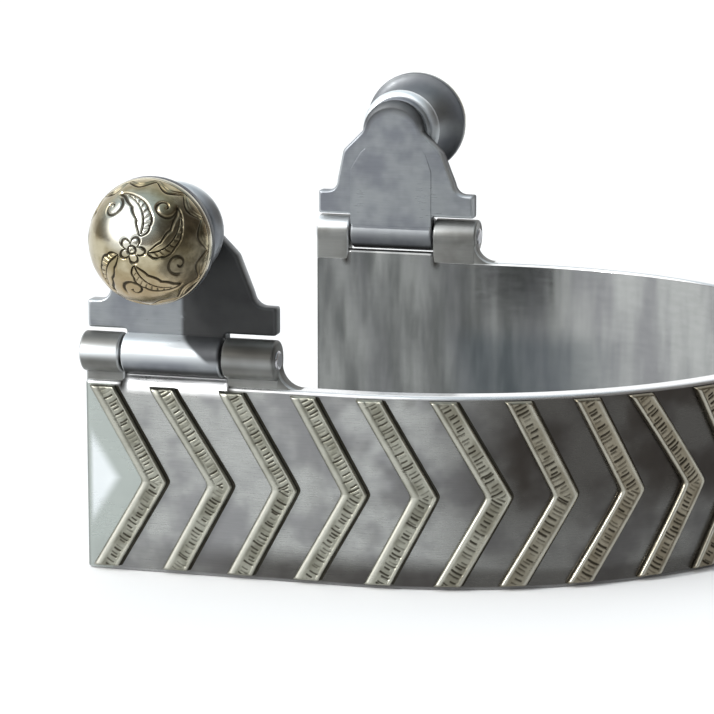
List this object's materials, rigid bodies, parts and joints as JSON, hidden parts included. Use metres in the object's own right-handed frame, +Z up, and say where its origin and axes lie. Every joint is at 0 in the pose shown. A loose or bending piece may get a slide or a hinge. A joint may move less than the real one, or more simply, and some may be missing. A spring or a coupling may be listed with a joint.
{
  "type": "western spur",
  "caption": "Western spur: U-shaped heel band with chevron overlays, hinged strap buttons on both arms, a forked shank and a free-turning star rowel.",
  "frame": {"origin": "centre of the heel's half circle, on the plane of the band's lower edge", "axes": "+X from the open end of the band to the rowel, +Z up from the lower edge, the wearer's left arm at -Y"},
  "size_m": [0.1475, 0.1256, 0.0471],
  "materials": {
    "band_steel": "polished stainless steel with fine buffing lines",
    "rowel_steel": "satin steel",
    "pin_steel": "bright drawn steel",
    "chevron_nickel": "nickel silver, hand engraved, dark in the cuts",
    "cap_nickel": "nickel silver, polished and engraved"
  },
  "bodies": {
    "band": {"heel_band": "band_steel", "shank": "band_steel", "rowel_pin": "pin_steel", "hinge_pin_left": "pin_steel", "hinge_pin_right": "pin_steel", "chevron_left_01": "chevron_nickel", "chevron_left_02": "chevron_nickel", "chevron_left_03": "chevron_nickel", "chevron_left_04": "chevron_nickel", "chevron_left_05": "chevron_nickel", "chevron_left_06": "chevron_nickel", "chevron_left_07": "chevron_nickel", "chevron_left_08": "chevron_nickel", "chevron_left_09": "chevron_nickel", "chevron_left_10": "chevron_nickel", "chevron_left_11": "chevron_nickel", "chevron_left_12": "chevron_nickel", "chevron_right_01": "chevron_nickel", "chevron_right_02": "chevron_nickel", "chevron_right_03": "chevron_nickel", "chevron_right_04": "chevron_nickel", "chevron_right_05": "chevron_nickel", "chevron_right_06": "chevron_nickel", "chevron_right_07": "chevron_nickel", "chevron_right_08": "chevron_nickel", "chevron_right_09": "chevron_nickel", "chevron_right_10": "chevron_nickel", "chevron_right_11": "chevron_nickel", "chevron_right_12": "chevron_nickel"},
    "rowel": {"rowel": "rowel_steel"},
    "hanger_left": {"button_hanger_left": "band_steel", "button_stud_left": "band_steel", "button_cap_left": "cap_nickel"},
    "hanger_right": {"button_hanger_right": "band_steel", "button_stud_right": "band_steel", "button_cap_right": "cap_nickel"}
  },
  "joints": [
    {"name": "rowel_spin", "type": "hinge", "parent": "band", "child": "rowel", "pos_m": [0.09925, 0, 0.022], "axis": [0, 1, 0], "continuous": true},
    {"name": "hanger_left_swing", "type": "hinge", "parent": "band", "child": "hanger_left", "pos_m": [-0.0195, -0.0469, 0.0255], "axis": [1, 0, 0], "range_deg": [-90, 115]},
    {"name": "hanger_right_swing", "type": "hinge", "parent": "band", "child": "hanger_right", "pos_m": [-0.0195, 0.0469, 0.0255], "axis": [-1, 0, 0], "range_deg": [-90, 115]}
  ]
}
